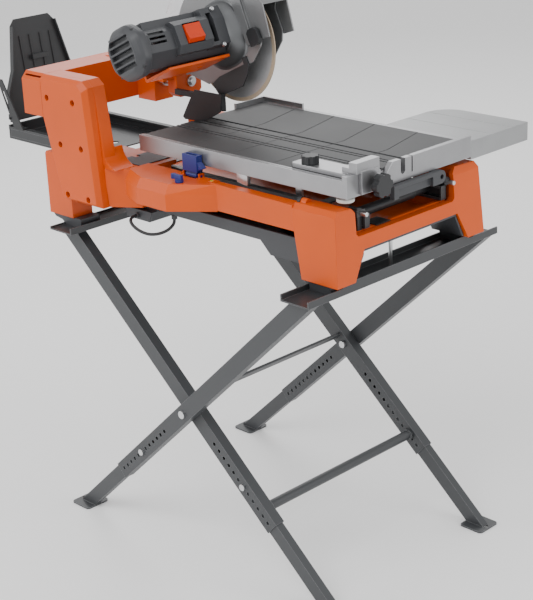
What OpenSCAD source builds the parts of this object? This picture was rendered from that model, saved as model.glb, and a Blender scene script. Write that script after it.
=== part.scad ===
// Wet tile saw on a folding X-stand.
// Millimetres. Z = 0 is the floor, X = 0 is the stand's pivot axis,
// +X is the operator's end, -Y is the side that carries the tower and the motor.

/* [Stand] */
// Height of the pivot that joins the two leg frames
pivot_h = 351; // [340:1:365]
// Distance from the pivot axis back to the rear feet
rear_reach = 380; // [370:1:390]
// Distance from the pivot axis forward to the front feet
front_reach = 400; // [390:1:410]
// Width of the leg tubes, seen from the side
leg_w = 38; // [36:1:42]
// Height of the two trays that the saw rests on
tray_h = 700; // [695:1:705]

/* [Table] */
// Length of the sliding table, along the cut
table_len = 608; // [600:1:620]
// Width of the sliding table
table_wid = 382; // [376:1:386]
// Height of the rubber top above the floor
table_top = 928; // [926:1:932]
// Width of the side extension
ext_wid = 197; // [150:1:220]

/* [Head] */
// Diameter of the diamond blade
blade_d = 254; // [250:1:254]
// Height of the blade's arbor above the floor
arbor_h = 1107; // [1105:1:1110]
// Pitch of the raised head, in degrees
pitch = 25; // [24:0.5:26]
// Length of the motor body without its end cap
motor_len = 223; // [215:1:225]

/* [Hidden] */
$fn = 48;

// Stand
leg_t = 25;
leg_wall = 2.5;
outer_y = 273;
inner_y = 247;
outer_lean = atan2(rear_reach, pivot_h);
inner_lean = -atan2(front_reach, pivot_h);
hole_first = 91;
hole_pitch = 19;
hole_count = 12;
pin_hole = 6;
tube_end = 316;
foot_top = 173;
foot_gap = 0.3;
plate_w = 62;
plate_t = 4;
tray_x = 367;
tray_half = 38;
tray_t = 3;
tray_len = 594;
lip_h = 12;
pivot_bolt_r = 5;

// Base
foot_h = 22;
base_z = tray_h + foot_h;
side_y = 222;
deck_z = 872;
panel_z = 815;
front_x = 420;
rail_y = 118;
rail_z = 815;
rail_h = 30;
rail_w = 14;
rail_rear = -770;
rail_front = 396;

// Table
table_front = 414;
table_rear = table_front - table_len;
table_y = table_wid / 2;
mat_t = 5;
table_bottom = 893;
wheel_r = 9.4;
axle_z = rail_z + 6 + wheel_r + 0.05;
hanger_y = 99;
axle_x = [-110, 200];
screw_x = 290;
screw_y = -160;
star_y = -118;
slot_y = 3;
groove_w = 5;

// Tower and arm
tower_near = -290;
tower_far = -231;
cover_t = 28;
arm_z0 = 957;
arm_z1 = 1052;
arm_front = -388;
arm_rear = -468;
seam_x = -400;
platform_z = 860;

cover_holes = [[-382, 1003], [-292, 1003], [-347, 903], [-275, 903], [-336, 790], [-264, 790]];
screw_sink = 16;

// Head
blade_y = 3;
blade_t = 3;
arbor_x = -86;
arbor_r = 12.7;
plunge_x = -255;
plunge_z = 1062;
bevel_z = 1005;
motor_u = 16;
motor_n = 24.6;
motor_r = 50;
case_y0 = -62;
guard_near = -30;
guard_far = 36;
guard_r = 146;
guard_n = -61;
latch_u = 106;
latch_n = -16;
visor_u = 124;
visor_n = 66;
lock_x = -250;
lock_y = -82;
lock_axis_y = -200.5;
lock_axis_z = 872;
tap_x = 2;
tap_y = -254;

// Hose between the pump box and the base
hose_r = 3.5;
hose_sides = 8;
hose_path = [[-189, -216, 752], [-188, -232, 750.8], [-183, -241, 747.2], [-174, -245, 741.2],
  [-162, -245, 734.6], [-147, -242, 728.6], [-131, -236, 725], [-116, -227, 725.6], [-104, -215, 729.8],
  [-96, -204, 737], [-93, -194.6, 747], [-93, -192, 760]];

orange = [0.92, 0.33, 0.05];
dark = [0.27, 0.28, 0.30];
black = [0.10, 0.10, 0.11];
steel_grey = [0.62, 0.63, 0.64];
alloy = [0.75, 0.76, 0.77];
zinc = [0.80, 0.81, 0.80];
rubber = [0.22, 0.22, 0.23];
blue = [0.12, 0.20, 0.62];
red = [0.92, 0.25, 0.07];
clear = [0.85, 0.90, 0.95, 0.5];

// ---------- shared shapes ----------

// Box from its lowest corner to its highest corner
module span(a, b) {
  translate(a) cube(b - a);
}

// Rod along Y
module rod_y(r, y0, y1) {
  translate([0, y0, 0]) rotate([-90, 0, 0]) cylinder(r = r, h = y1 - y0);
}

// Rod along X
module rod_x(r, x0, x1) {
  translate([x0, 0, 0]) rotate([0, 90, 0]) cylinder(r = r, h = x1 - x0);
}

// Flat plate with rounded corners, lying in XY, centred
module round_plate(w, d, t, r) {
  linear_extrude(t) rounded(w, d, r);
}

// Rectangle with true round corners
module rounded(w, d, r) {
  square([w - 2 * r, d], center = true);
  square([w, d - 2 * r], center = true);
  for (i = [-1, 1], j = [-1, 1])
    translate([i * (w / 2 - r), j * (d / 2 - r)]) circle(r);
}

// Outline drawn in XZ and given depth along Y
module side_cut(points, y0, y1) {
  translate([0, y1, 0]) rotate([90, 0, 0]) linear_extrude(y1 - y0) polygon(points);
}

// Outline drawn in YZ and given depth along X
module front_cut(points, x0, x1) {
  translate([x0, 0, 0]) rotate([90, 0, 90]) linear_extrude(x1 - x0) polygon(points);
}

// Knob with finger lobes, along Z
module lobed_knob(r, h, lobes) {
  difference() {
    cylinder(r = r, h = h);
    for (i = [0 : lobes - 1]) rotate(i * 360 / lobes)
      translate([r * 1.12, 0, -1]) cylinder(r = r * 0.28, h = h + 2, $fn = 24);
  }
}

// Head coordinates: origin on the arbor, pitched with the head
module on_head() {
  translate([arbor_x, 0, arbor_h]) rotate([0, -pitch, 0]) children();
}

module on_motor() {
  on_head() translate([motor_u, 0, motor_n]) children();
}

// ---------- stand ----------

// Frame along a leg: origin at the pivot, -Z down the leg
module along_leg(lean, y) {
  translate([0, y, pivot_h]) rotate([0, lean, 0]) children();
}

module leg_tube(lean, y) {
  inside_w = leg_w - 2 * leg_wall;
  inside_t = leg_t - 2 * leg_wall;
  color(dark) difference() {
    along_leg(lean, y) span([-leg_w / 2, -leg_t / 2, -tube_end], [leg_w / 2, leg_t / 2, 600]);
    along_leg(lean, y) span([-inside_w / 2, -inside_t / 2, -tube_end - 1], [inside_w / 2, inside_t / 2, 601]);
    along_leg(lean, y) rod_y(pivot_bolt_r + 0.1, -leg_t, leg_t);
    for (i = [0 : hole_count - 1])
      along_leg(lean, y) translate([0, 0, -hole_first - i * hole_pitch]) rod_y(4.5, -leg_t, leg_t);
    span([-800, -400, tray_h - tray_t], [800, 400, 1200]);
  }
}

module outer_legs() {
  leg_tube(outer_lean, -outer_y);
  leg_tube(outer_lean, outer_y);
}
module inner_leg_near() leg_tube(inner_lean, -inner_y);
module inner_leg_far() leg_tube(inner_lean, inner_y);

// Folded tray that a row of the saw's feet stands in
module tray_channel(front_lip, rear_lip) {
  half = tray_len / 2;
  span([-tray_half, -half, -tray_t], [tray_half, half, 0]);
  span([tray_half - tray_t, -half, 0], [tray_half, half, front_lip]);
  span([-tray_half, -half, 0], [-tray_half + tray_t, half, rear_lip]);
}

module front_channel() {
  wide = 200;
  color(dark) translate([tray_x, 0, tray_h]) difference() {
    union() {
      tray_channel(lip_h, lip_h);
      front_cut([[-wide, lip_h], [-wide + 14, lip_h + 8], [wide - 14, lip_h + 8], [wide, lip_h]],
        tray_half - tray_t, tray_half);
    }
    translate([0, -12, -10]) cylinder(r = 4.6, h = 20);
  }
}

module rear_channel() {
  color(dark) translate([-tray_x, 0, tray_h]) tray_channel(lip_h, 4);
}

// Clamp bolts that press on the telescoping tubes of a pair of legs
module clamp_bolts(lean, y) {
  face = y + leg_t / 2;
  for (s = [-1, 1])
    along_leg(lean, 0) translate([0, 0, -hole_first - pin_hole * hole_pitch]) scale([1, s, 1]) {
      rod_y(4.4, face - leg_wall, face);
      rod_y(7.5, face, face + 5);
    }
}

module outer_bolts() {
  color(zinc) {
    for (s = [-1, 1]) translate([0, 0, pivot_h]) scale([1, s, 1]) {
      rod_y(pivot_bolt_r, inner_y - leg_t / 2 - 7, outer_y + leg_t / 2);
      rod_y(9, outer_y + leg_t / 2, outer_y + leg_t / 2 + 5);
      rod_y(8.5, inner_y - leg_t / 2 - 7, inner_y - leg_t / 2 - 0.3);
    }
    clamp_bolts(outer_lean, outer_y);
  }
}

module inner_bolts() {
  color(zinc) clamp_bolts(inner_lean, inner_y);
}

module stand_bars() {
  cross_s = 268;
  upper_s = -26;
  inner_face = inner_y - leg_t / 2;
  color(dark) {
    along_leg(inner_lean, 0) translate([0, 0, -cross_s]) {
      rod_y(11, -inner_face, inner_face);
      for (s = [-1, 1]) translate([0, s * (inner_face - 3), 0]) rod_y(14, -3, 3);
    }
    along_leg(inner_lean, 0) translate([0, 0, -upper_s])
      span([-10, -inner_face, -3], [10, inner_face, 3]);
  }
}

// Telescoping foot: a tube in the leg and a floor plate
module leg_foot(lean, y, reach) {
  w = leg_w - 2 * leg_wall - 2 * foot_gap;
  t = leg_t - 2 * leg_wall - 2 * foot_gap;
  color(dark) {
    difference() {
      along_leg(lean, y) span([-w / 2, -t / 2, -560], [w / 2, t / 2, -foot_top]);
      along_leg(lean, y) span([-w / 2 + 2, -t / 2 + 2, -561], [w / 2 - 2, t / 2 - 2, -foot_top + 1]);
      span([-800, -400, -200], [800, 400, plate_t]);
    }
    translate([reach, y, 0]) difference() {
      round_plate(plate_w, plate_w + 3, plate_t, 8);
      translate([sign(reach) * 21, 0, -1]) cylinder(r = 5.5, h = 10);
    }
  }
}

module foot_rear_near() leg_foot(outer_lean, -outer_y, -rear_reach);
module foot_rear_far() leg_foot(outer_lean, outer_y, -rear_reach);
module foot_front_near() leg_foot(inner_lean, -inner_y, front_reach);
module foot_front_far() leg_foot(inner_lean, inner_y, front_reach);

// ---------- base ----------

module base_feet() {
  color(dark) {
    for (s = [-1, 1]) front_cut([[s * 186, tray_h], [s * 222, tray_h], [s * 226, base_z], [s * 180,
      base_z]], 338, 396);
    for (y = [[-258, -204], [178, 224]])
      side_cut([[-396, tray_h], [-340, tray_h], [-340, base_z], [-440, base_z], [-432, 714], [-408, 710]],
        y[0], y[1]);
  }
}

// Front end of the base: two drafted legs and the bar between them
module front_portal() {
  leg_in = 177;
  bar_in = 145;
  u_near = -165;
  u_far = 138;
  bar_z0 = 782;
  bar_z1 = 811;
  out_bottom = 230;
  color(orange) difference() {
    intersection() {
      front_cut([
        [-out_bottom, base_z], [-leg_in, base_z], [-bar_in, bar_z0], [bar_in, bar_z0], [leg_in, base_z],
        [out_bottom, base_z], [side_y, deck_z - 6], [side_y - 8, deck_z + 6], [u_far + 12, deck_z + 8],
        [u_far, deck_z - 4], [u_far, bar_z1 + 6], [u_far - 6, bar_z1], [u_near + 6, bar_z1],
        [u_near, bar_z1 + 6], [u_near, deck_z - 12], [u_near - 8, deck_z - 2], [-side_y + 10, deck_z],
          [-side_y, deck_z - 10]],
        296, front_x);
      side_cut([[324, base_z - 1], [302, panel_z], [296, panel_z + 20], [296, deck_z + 20],
        [398, deck_z + 20], [410, deck_z - 8], [front_x, base_z - 1]], -260, 260);
    }
    for (s = [-1, 1]) translate([0, s * 202, 0]) span([338, -14, base_z - 1], [394, 14, 850]);
    span([290, -bar_in, 700], [front_x - 22, bar_in, 1000]);
  }
  color(orange) difference() {
    translate([306, -196, deck_z - 2]) rod_x(9, -10, 11);
    span([290, -210, 850], [320, -180, deck_z - 1.5]);
  }
}

// Side panels with the rounded control housing on the near side
module bulge(outline, z0, z1, z2) {
  translate([0, 0, z0]) linear_extrude(z1 - z0) polygon(outline);
  translate([0, 11, z1]) linear_extrude(z2 - z1) polygon([for (p = outline) [p[0] * 0.97, min(p[1],
    -222 - 11)]]);
}

module base_sides() {
  wall = 6;
  color(orange) {
    difference() {
      union() {
        side_cut([[60, panel_z], [302, panel_z], [296, panel_z + 20], [296, deck_z - 4], [60, deck_z]],
          -side_y, -side_y + wall);
        span([60, -side_y + wall, deck_z - wall], [296, -194, deck_z - 4]);
      }
      translate([288, -208, deck_z - 12]) cylinder(r = 2.2, h = 12);
    }
    difference() {
      hull() bulge([[-164, -side_y], [-164, -262], [-98, -288], [-6, -288], [80, -side_y]], 813, 849, 869.8);
      hull() bulge([[-158, -200], [-158, -257], [-97, -282], [-9, -282], [66, -228], [52, -200]], 800, 846,
        864);
      translate([tap_x, tap_y, 840]) cylinder(r = 5.1, h = 40);
    }
    difference() {
      union() {
        span([-164, -side_y, 864], [62, -194, 869.8]);
        span([-40, -214, 850], [12, -192, 878]);
      }
      span([-36.3, -215, 858], [8.3, -190, 880]);
      span([-41, -215, 869.8], [13, -206.5, 880]);
      translate([0, lock_axis_y, lock_axis_z]) rod_x(3.05, -50, 20);
      translate([50, -207, 866.5]) cylinder(r = 7.5, h = 10);
    }
    difference() {
      side_cut([[-362, panel_z - 20], [302, panel_z], [296, panel_z + 20], [296, deck_z], [-362,
        deck_z - 10]],
        side_y - wall, side_y);
      for (x = [-250 : 90 : 200]) span([x, side_y - 10, 838], [x + 60, side_y + 1, 844]);
    }
  }
}

// Rear end of the base: two legs joined by a bar
module rear_legs() {
  color(orange) {
    difference() {
      side_cut([[-446, base_z], [-362, base_z], [-362, 868], [-440, 868], [-446, 862]], -261.8, -206);
      span([-436, -252, base_z - 1], [-372, -216, 850]);
    }
    difference() {
      side_cut([[-446, base_z], [-362, base_z], [-362, 868], [-440, 868], [-446, 862]], 175, 230);
      span([-436, 185, base_z - 1], [-372, 220, 850]);
    }
    span([-440, -206, 770], [-420, 175, rail_z]);
    span([-455, -250, 800], [-446, -226, 845]);
  }
}

module retaining_bolt() {
  color(zinc) translate([tray_x, -12, 0]) {
    translate([0, 0, tray_h - 8]) cylinder(r = 4, h = 90);
    translate([0, 0, 781]) cylinder(r = 8.5, h = 5, $fn = 6);
  }
}

// Open basin that catches the cooling water
module water_basin() {
  color(orange) difference() {
    span([-350, -144, 790], [392, 132, 812]);
    side_cut([[-340, 820], [-340, 796], [330, 793], [382, 800], [384, 820]], -136, 124);
    translate([120, 0, 780]) cylinder(r = 12, h = 30);
  }
}

// Dark lower pan with a deeper sump at the front
module water_pan() {
  color(dark) difference() {
    union() {
      side_cut([[-340, 765], [176, 765], [204, 738], [300, 738], [300, 790], [-340, 790]], -196, 170);
      span([300, -144, 738], [330, 144, 790]);
      front_cut([[-143, 781], [143, 781], [143, 776], [-143, 776]], 330, 412);
      for (s = [-1, 1]) front_cut([[s * 143, 781], [s * 150, 766], [s * 172, 726], [s * 166, 726],
        [s * 143, 770]], 330, 412);
    }
    side_cut([[-334, 791], [-334, 771], [178, 771], [206, 744], [294, 744], [294, 791]], -190, 164);
    span([290, -137, 744], [324, 137, 791]);
    translate([tray_x, -12, 760]) cylinder(r = 4.05, h = 40);
  }
  color(dark) pump_box();
}

// Sealed box of the water pump, under the pan
module pump_box() {
  difference() {
    union() {
      side_cut([[-235, 765], [-143, 765], [-151, 742], [-227, 742]], -214, -120);
      translate([-189, -214, 752]) rotate([90, 0, 0]) cylinder(r = 6.5, h = 6);
      translate([-93, -192, 765]) rotate([180, 0, 0]) cylinder(r = 6.5, h = 8.5);
    }
    translate([-189, -190, 752]) rotate([90, 0, 0]) cylinder(r = 4.2, h = 60);
    translate([-93, -192, 740]) cylinder(r = 4.2, h = 22);
  }
}

// Hose that loops from the pump box back up under the base
// Smooth point at u on the path, u counted in path points
function at(p, u) = let (i = min(len(p) - 2, floor(u)), t = u - i,
  a = p[max(0, i - 1)], b = p[i], c = p[i + 1], d = p[min(len(p) - 1, i + 2)])
  0.5 * (2 * b + (c - a) * t + (2 * a - 5 * b + 4 * c - d) * t * t + (3 * b - a - 3 * c + d) * t * t * t);
function unit(v) = v / norm(v);

module tube_along(p, r, steps, sides) {
  rings = [for (k = [0 : steps]) let (
      u = k * (len(p) - 1) / steps, c = at(p, u),
      t = unit(at(p, min(len(p) - 1, u + 0.02)) - at(p, max(0, u - 0.02))),
      n = unit(cross(t, [0.35, 0.1, 1])), b = cross(t, n))
    for (j = [0 : sides - 1]) c + r * (cos(j * 360 / sides) * n + sin(j * 360 / sides) * b)];
  faces = concat(
    [[for (j = [0 : sides - 1]) j]],
    [for (k = [0 : steps - 1], j = [0 : sides - 1]) let (m = (j + 1) % sides)
      [k * sides + j, (k + 1) * sides + j, (k + 1) * sides + m, k * sides + m]],
    [[for (j = [sides - 1 : -1 : 0]) steps * sides + j]]);
  polyhedron(rings, faces, convexity = 4);
}

module pump_hose() {
  color(dark) tube_along(hose_path, hose_r, 30, hose_sides);
}

// ---------- rails and rear tray ----------

module guide_rails() {
  color(dark) for (s = [-1, 1]) scale([1, s, 1]) {
    span([rail_rear, rail_y - rail_w / 2, rail_z], [rail_front, rail_y + rail_w / 2, rail_z + 6]);
    span([rail_rear, rail_y - rail_w / 2, rail_z + rail_h - 5], [rail_front, rail_y + rail_w / 2,
      rail_z + rail_h]);
  }
}

module rail_webs() {
  color(dark) for (s = [-1, 1]) scale([1, s, 1])
    span([rail_rear, rail_y + 2, rail_z + 6], [rail_front, rail_y + rail_w / 2, rail_z + rail_h - 5]);
}

module cross_members() {
  color(dark) {
    span([386, 126, 845.2], [401.8, 137.8, 858]);
    span([386, -150, 845.2], [401.8, -126, 858]);
    for (s = [-1, 1]) {
      span([rail_front, s * rail_y - 7, rail_z], [rail_front + 4, s * rail_y + 7, 845.2]);
      span([382, s * 131.5 - 6, 812], [392, s * 131.5 + 6, 845.2]);
    }
    for (x = [-300, 200]) span([x, -216, 812.1], [x + 24, 216, rail_z]);
    translate([352, 0, 831]) difference() {
      union() {
        rod_y(11, -100, 74);
        rod_y(8.5, 74, rail_y + 2);
        rod_y(8.5, -rail_y - 2, -100);
      }
      rod_y(7, -99, 70);
    }
  }
}

module rear_tray() {
  inner = rail_y - rail_w / 2;
  flap_brackets();
  color(black) difference() {
    union() {
      span([rail_rear, -inner, rail_z], [-470, inner, rail_z + 9]);
      span([rail_rear - 6, -inner - rail_w, rail_z], [rail_rear, inner + rail_w, rail_z + rail_h + 4]);
    }
    span([rail_rear + 1, -inner + 3, rail_z + 3], [-466, inner - 3, rail_z + 40]);
    translate([-520, 0, 800]) cylinder(r = 10, h = 30);
  }
  color(black) difference() {
    span([-640, -70, rail_z + 3], [-634, -10, rail_z + 62]);
    translate([0, -40, rail_z + 36]) rod_x(12, -650, -630);
  }
}

// Slotted brackets that set the flap's angle
module flap_brackets() {
  color(dark) for (s = [-1, 1]) scale([1, s, 1]) difference() {
    side_cut([[-748, rail_z + rail_h], [-712, rail_z + rail_h], [-782, 962], [-800, 962]], 125.6, 129);
    side_cut([[-764, 890], [-756, 892], [-776, 934], [-784, 932]], 120, 140);
    translate([-760, 0, 868]) rod_y(3.04, 120, 140);
  }
  color(dark) for (s = [-1, 1]) scale([1, s, 1])
    span([-748, 111, rail_z + rail_h], [-712, 129, rail_z + rail_h + 3]);
}

// Upright spray flap, hinged on the slotted brackets
module deflector_flap() {
  lean = 9;
  color(black) translate([-760, 0, 868]) {
    rotate([0, -lean, 0]) {
      front_cut([[-116, -12], [116, -12], [112, 60], [88, 110], [66, 216], [52, 232], [-52, 232], [-66, 216],
        [-88, 110], [-112, 60]], -22, -18);
      for (y = [-46, -16, 16, 46]) span([-18, y - 2, 6], [-15, y + 2, 190]);
      for (s = [-1, 1]) front_cut([[s * 112, -12], [s * 116, -12], [s * 112, 60], [s * 88, 110], [s * 66,
        216],
        [s * 62, 216], [s * 84, 110], [s * 108, 60]], -18, -8);
      span([-18, -24, 128], [-6, 24, 140]);
    }
    for (s = [-1, 1]) scale([1, s, 1]) difference() {
      union() {
        rod_y(8, 112, 122);
        span([-24, 112, -4], [0, 117, 4]);
      }
      rod_y(2.98, 100, 130);
    }
  }
  color(zinc) for (s = [-1, 1]) scale([1, s, 1]) translate([-760, 0, 868]) rod_y(2.98, 112, 132);
}

// ---------- tower ----------

// Side outline of the tower, pulled in by m
function tower_line(m) = [[seam_x, arm_z1 - m], [-268 - m, arm_z1 - m], [-250 - m, arm_z1 - 14 - m],
  [-228 - m, 774 + m],
  [-360 + m, 774 + m], [-370 + m, 872], [-376 + m, 915], [-386 + m, 945], [seam_x, arm_z0]];

// Foot of the tower, with the platform beside it
module tower_foot() {
  platform_x = -165;
  color(orange) {
    difference() {
      translate([0, 0, 774]) linear_extrude(platform_z - 774)
        polygon([[-361.8, tower_near + cover_t], [-232, tower_near + cover_t], [platform_x, -219],
          [platform_x, -115],
          [-170, -109], [-350, -109], [-361.8, -120]]);
      span([-350, -213, 773], [-180, -115, platform_z - 6]);
      span([-366, -259, 773], [-240, -205, 868.1]);
      span([-400, -198, 770], [-100, -90, 815.3]);
      span([-400, -130, 770], [-100, -90, 850]);
      span([-320, -230, 803.8], [-270, -90, 815.3]);
      for (p = cover_holes) translate([p[0], tower_near, p[1]]) rod_y(3.1, -1, 60);
    }
    difference() {
      side_cut([[-238, platform_z], [-196, platform_z], [-238, 902]], tower_near + cover_t + 1, -206);
      translate([-190, 0, 906]) rod_y(45.5, -300, -200);
    }
  }
}

module platform_plate() {
  color(dark) translate([0, 0, platform_z]) linear_extrude(1.6)
    polygon([[-262, -200], [-186, -200], [-186, -112], [-262, -112], [-262, -146], [-248, -146], [-248,
      -160], [-262, -160]]);
}

module tower_shell() {
  wall = 5;
  color(orange) difference() {
    side_cut([for (p = tower_line(0)) [p[0], max(p[1], 868.2)]], tower_near + cover_t, tower_far);
    side_cut([[seam_x + wall, 1040], [-272, 1040], [-258, 1030], [-248, 880], [-362, 880], [-378, 950],
      [seam_x + wall, 962]],
      tower_near + cover_t - 1, tower_far - wall);
    for (p = cover_holes) translate([p[0], tower_near, p[1]]) rod_y(3.1, -1, 60);
  }
  color(orange) for (p = cover_holes) if (p[1] > 880) translate([p[0], 0, p[1]]) difference() {
    rod_y(9, tower_near + cover_t, tower_far - wall);
    rod_y(3.1, tower_near, tower_far - wall - 1);
  }
}

module tower_body() {
  tower_foot();
  tower_shell();
}

// Near cover of the tower, with six recessed screws
module tower_cover() {
  color(orange) difference() {
    hull() {
      side_cut(tower_line(0), tower_near + 12, tower_near + cover_t);
      side_cut([for (p = tower_line(8)) [max(p[0], seam_x), p[1]]], tower_near, tower_near + 13);
    }
    span([-420, -300, 900], [seam_x, -250, 1100]);
    difference() {
      side_cut([[-480, 940], [-376, 872], [-366, 774], [-480, 774]], -300, -250);
      side_cut([[-360, 770], [-370, 872], [-376, 915], [-386, 945], [seam_x, arm_z0], [-300, 1000], [-300,
        770]], -301, -249);
    }
    side_cut([[-388, 1032], [-282, 1032], [-268, 1022], [-250, 794], [-348, 794], [-358, 880], [-372, 945],
      [-388, 968]],
      tower_near + 8, tower_near + cover_t + 1);
    for (p = cover_holes) translate([p[0], 0, p[1]]) {
      rod_y(7, tower_near - 1, tower_near + screw_sink);
      rod_y(3.1, tower_near, tower_near + cover_t + 2);
    }
  }
  color(orange) for (p = cover_holes) translate([p[0], 0, p[1]]) difference() {
    rod_y(10.5, tower_near + 7.9, tower_near + cover_t);
    rod_y(7, tower_near, tower_near + screw_sink);
    rod_y(3.1, tower_near, tower_near + cover_t + 2);
  }
}

module cover_screws() {
  color(black) for (p = cover_holes) translate([p[0], 0, p[1]]) difference() {
    union() {
      rod_y(6, tower_near + screw_sink - 5, tower_near + screw_sink);
      rod_y(3, tower_near + screw_sink, tower_near + cover_t + 12);
    }
    rotate([-90, 0, 0]) translate([0, 0, tower_near + screw_sink - 6]) cylinder(r = 3, h = 4, $fn = 6);
  }
}

module tap_knob() {
  color(blue) translate([tap_x, tap_y, 0]) {
    translate([0, 0, 846]) cylinder(r = 5, h = 24);
    translate([0, 0, 870]) cylinder(r = 9, h = 6);
    translate([0, 0, 876]) span([-17, -3.5, 0], [9, 3.5, 10]);
    translate([-17, 0, 876]) cylinder(r = 5.5, h = 10);
  }
}

// Lever that locks the sliding table to the base
module table_lock() {
  color(blue) difference() {
    union() {
      span([-36, -209, 880], [8, -192.5, 916]);
      side_cut([[8, 884], [22, 890], [8, 902]], -207, -194);
      span([-30, lock_axis_y - 4, lock_axis_z], [2, lock_axis_y + 4, 881]);
      translate([0, lock_axis_y, lock_axis_z]) rod_x(6, -30, 2);
    }
    span([-30, -205, 886], [2, -196.5, 917]);
    translate([0, lock_axis_y, lock_axis_z]) rod_x(3, -50, 20);
  }
  color(zinc) translate([0, lock_axis_y, lock_axis_z]) rod_x(3, -40, 12);
}

// ---------- arm and bevel ----------

module arm() {
  boss_front = -328;
  color(orange) difference() {
    union() {
      span([arm_rear, tower_far, arm_z0], [arm_front, 62, arm_z1]);
      intersection() {
        span([arm_rear, tower_near, arm_z0], [seam_x, tower_far, arm_z1]);
        front_cut([[tower_near, arm_z0], [tower_far, arm_z0], [tower_far, arm_z1], [tower_near + 14, arm_z1],
          [tower_near, arm_z1 - 16]], arm_rear - 1, seam_x + 1);
      }
      side_cut([[arm_front, 950], [boss_front, 950], [boss_front, 1034], [arm_front, 1048]], -24, 30);
      translate([-430, -60, arm_z1]) cylinder(r = 14, h = 2);
    }
    side_cut([[arm_rear + 6, arm_z0 - 1], [arm_front - 6, arm_z0 - 1], [arm_front - 6, arm_z1 - 6],
      [arm_rear + 6, arm_z1 - 6]],
      tower_near + 6, -40);
    translate([0, blade_y, bevel_z]) rod_x(9.05, -480, -300);
    span([seam_x - 1, tower_near - 1, 950], [arm_front + 1, tower_far, 1060]);
  }
}

module bevel_shaft() {
  color(steel_grey) translate([0, blade_y, bevel_z]) {
    rod_x(9, -478, -226);
    rod_x(12, -233, -229);
    rotate([90, 0, 90]) translate([0, 0, -229]) cylinder(r = 8, h = 5, $fn = 6);
  }
  color(black) translate([0, blade_y, bevel_z]) difference() {
    union() {
      rod_x(21, -326, -312);
      rod_x(17, -312, -286);
      rod_x(21, -286, -262);
    }
    rod_x(9, -330, -250);
  }
}

// Star nut behind the arm that locks the tilt
module bevel_lock_knob() {
  color(black) translate([-478, blade_y, bevel_z]) rotate([0, -90, 0]) difference() {
    union() {
      lobed_knob(24, 16, 6);
      translate([0, 0, -9.7]) cylinder(r = 13, h = 9.7);
    }
    translate([0, 0, -10]) cylinder(r = 9.05, h = 10.3);
  }
}

// Orange bracket between the tilting shaft and the plunge hinge
module bevel_bracket() {
  near_ear = -76;
  far_ear = 53;
  ear_t = 11;
  color(orange) difference() {
    union() {
      front_cut([[-30, 974], [24, 974], [34, 984], [34, 1030], [-40, 1030], [-40, 984]], -261.7, -233);
      span([-261.7, near_ear, 1016], [-240, far_ear + ear_t, 1030]);
      span([-258, near_ear - 12, 1060], [-242, near_ear, 1090]);
      for (y = [near_ear, far_ear]) side_cut([[-272, 1016], [-236, 1016], [-238, 1062], [-244, 1076],
        [-255, 1080],
        [-266, 1076], [-272, 1062]], y, y + ear_t);
    }
    translate([0, blade_y, bevel_z]) rod_x(9, -290, -220);
    translate([plunge_x, 0, plunge_z]) rod_y(7.05, near_ear - 20, far_ear + ear_t + 1);
    translate([lock_x, lock_y, 1060]) cylinder(r = 4.05, h = 40);
    side_cut([[-280, 1026], [-230, 1026], [-230, 1030.1], [-280, 1030.1]], near_ear + ear_t, far_ear);
  }
}

// Spray chute around the back of the blade, fixed to the bevel bracket
module chute() {
  near = -50;
  far = 18;
  t = 3;
  color(black) {
    side_cut([[-164, 1004], [-182, 978], [-207, 938], [-200, 932.5], [-136, 937], [-84, 964], [-76, 1004]],
      near, near + t);
    difference() {
      side_cut([[-186, 972], [-207, 938], [-200, 932.5], [-182, 966]], near + t, far);
      span([-230, -4, 944], [-160, 10, 1000]);
    }
    side_cut([[-186, 972], [-207, 938], [-200, 937], [-140, 945], [-140, 972]], far, far + t);
    span([-84, near + t, 968], [-81, near + t + 13, 1004]);
    span([-233, near + t, 984], [-160, near + t + 10, 996]);
  }
}

// ---------- head ----------

module head_arm() {
  lug_u = (plunge_x - arbor_x) * cos(pitch) + (plunge_z - arbor_h) * sin(pitch);
  lug_n = -(plunge_x - arbor_x) * sin(pitch) + (plunge_z - arbor_h) * cos(pitch);
  color(orange) on_head() {
    difference() {
      union() {
        translate([lug_u, 0, lug_n]) rod_y(16, -64.5, 52.5);
        side_cut([[lug_u, lug_n - 12], [-44, 6], [-44, 44], [lug_u, lug_n + 12]], case_y0, guard_near);
      }
      translate([lug_u, 0, lug_n]) rod_y(7.05, -80, 80);
      rod_y(150, guard_near - 1, 60);
    }
    difference() {
      union() {
        span([-40, -232, -33], [46, case_y0, -27.4]);
        span([-40, -232, -33], [-34, case_y0, -12]);
        side_cut([[-44, 6], [-44, -33], [-34, -33], [-34, -12], [-40, 6]], -100, case_y0);
      }
      translate([0, -110, -40]) cylinder(r = 8, h = 20);
    }
  }
  color(steel_grey) translate([plunge_x, 0, plunge_z]) {
    rod_y(7, -76, 68);
    rod_y(11, 64, 68);
  }
}

// Die-cast case for the reduction gears
module gear_case() {
  wall = 4;
  color(steel_grey) on_head() difference() {
    hull() {
      translate([motor_u, 0, motor_n]) rod_y(44, case_y0, case_y0 + 2);
      rod_y(36, case_y0 + 16, guard_near);
      translate([motor_u + 20, 0, motor_n + 10]) rod_y(40, guard_near - 4, guard_near);
    }
    translate([motor_u, 0, motor_n]) rod_y(26, case_y0 + wall, guard_near + 1);
    rod_y(26, case_y0 + 11, guard_near + 1);
    translate([motor_u, 0, motor_n]) rod_y(7.06, case_y0 - 1, 0);
    side_cut([[-60, -60], [-43.9, -60], [-43.9, 60], [-60, 60]], case_y0 - 1, guard_near + 1);
  }
}

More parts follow.
